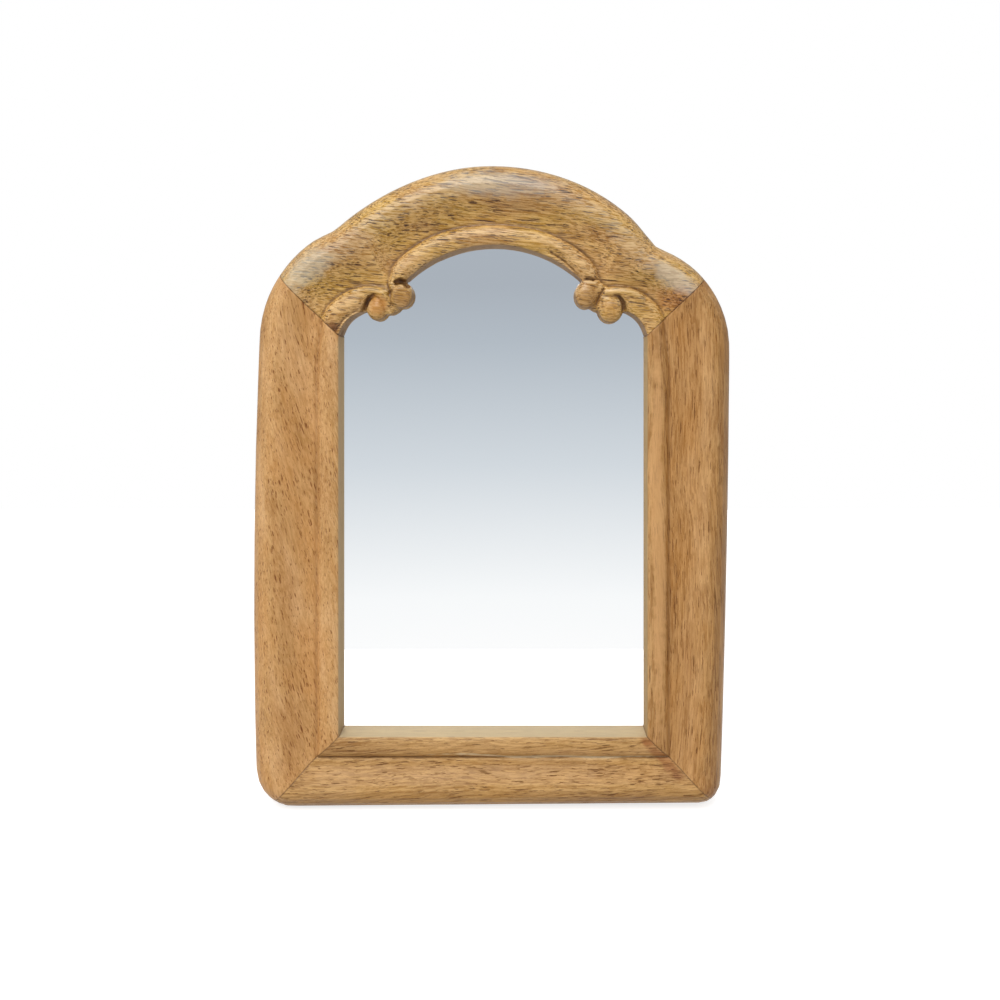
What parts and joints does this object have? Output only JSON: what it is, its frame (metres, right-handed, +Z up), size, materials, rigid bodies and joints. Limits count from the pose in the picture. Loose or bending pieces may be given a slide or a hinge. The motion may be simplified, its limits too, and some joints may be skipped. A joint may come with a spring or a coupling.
{
  "type": "wall mirror",
  "caption": "Small arched wall mirror in a hand-carved hardwood frame: mitred, beaded members, scroll eyes beside the arch, backed glass and a D-ring hanger",
  "frame": {"origin": "middle of the width and of the whole depth with its hanger, at the level of the lowest point of the bottom edge", "axes": "+Z up, -Y the way the mirror faces, +X to the right of someone who looks into it"},
  "size_m": [0.1514, 0.0241, 0.2034],
  "materials": {
    "golden_hardwood": "waxed, golden brown with dark open pores",
    "pink_hardwood": "waxed, pinkish tan",
    "brown_hardwood": "waxed, light brown with long streaks",
    "straw_hardwood": "waxed, straw brown",
    "silvered_glass": "polished, silvered on the back",
    "hardboard": "dark brown pressed board, dull",
    "bright_steel": "zinc plated",
    "brass_plate": "brass plated, satin"
  },
  "bodies": {
    "frame": {"top_rail": "golden_hardwood", "left_stile": "pink_hardwood", "right_stile": "brown_hardwood", "bottom_rail": "straw_hardwood", "mirror_glass": "silvered_glass", "backing_board": "hardboard", "brad_left_lower": "bright_steel", "brad_left_upper": "bright_steel", "brad_right_lower": "bright_steel", "brad_right_upper": "bright_steel", "brad_bottom_left": "bright_steel", "brad_bottom_right": "bright_steel", "brad_top_left": "bright_steel", "brad_top_right": "bright_steel", "v_nail_bottom_left_inner": "bright_steel", "v_nail_bottom_left_outer": "bright_steel", "v_nail_bottom_right_inner": "bright_steel", "v_nail_bottom_right_outer": "bright_steel", "v_nail_top_left_inner": "bright_steel", "v_nail_top_left_outer": "bright_steel", "v_nail_top_right_inner": "bright_steel", "v_nail_top_right_outer": "bright_steel", "hanger_strap": "brass_plate", "hanger_screw": "bright_steel"},
    "ring": {"hanging_ring": "brass_plate"}
  },
  "joints": [
    {"name": "ring_swing", "type": "hinge", "parent": "frame", "child": "ring", "pos_m": [-0.00003, 0.01015, 0.1935], "axis": [1, 0, 0], "range_deg": [0, 175]}
  ]
}
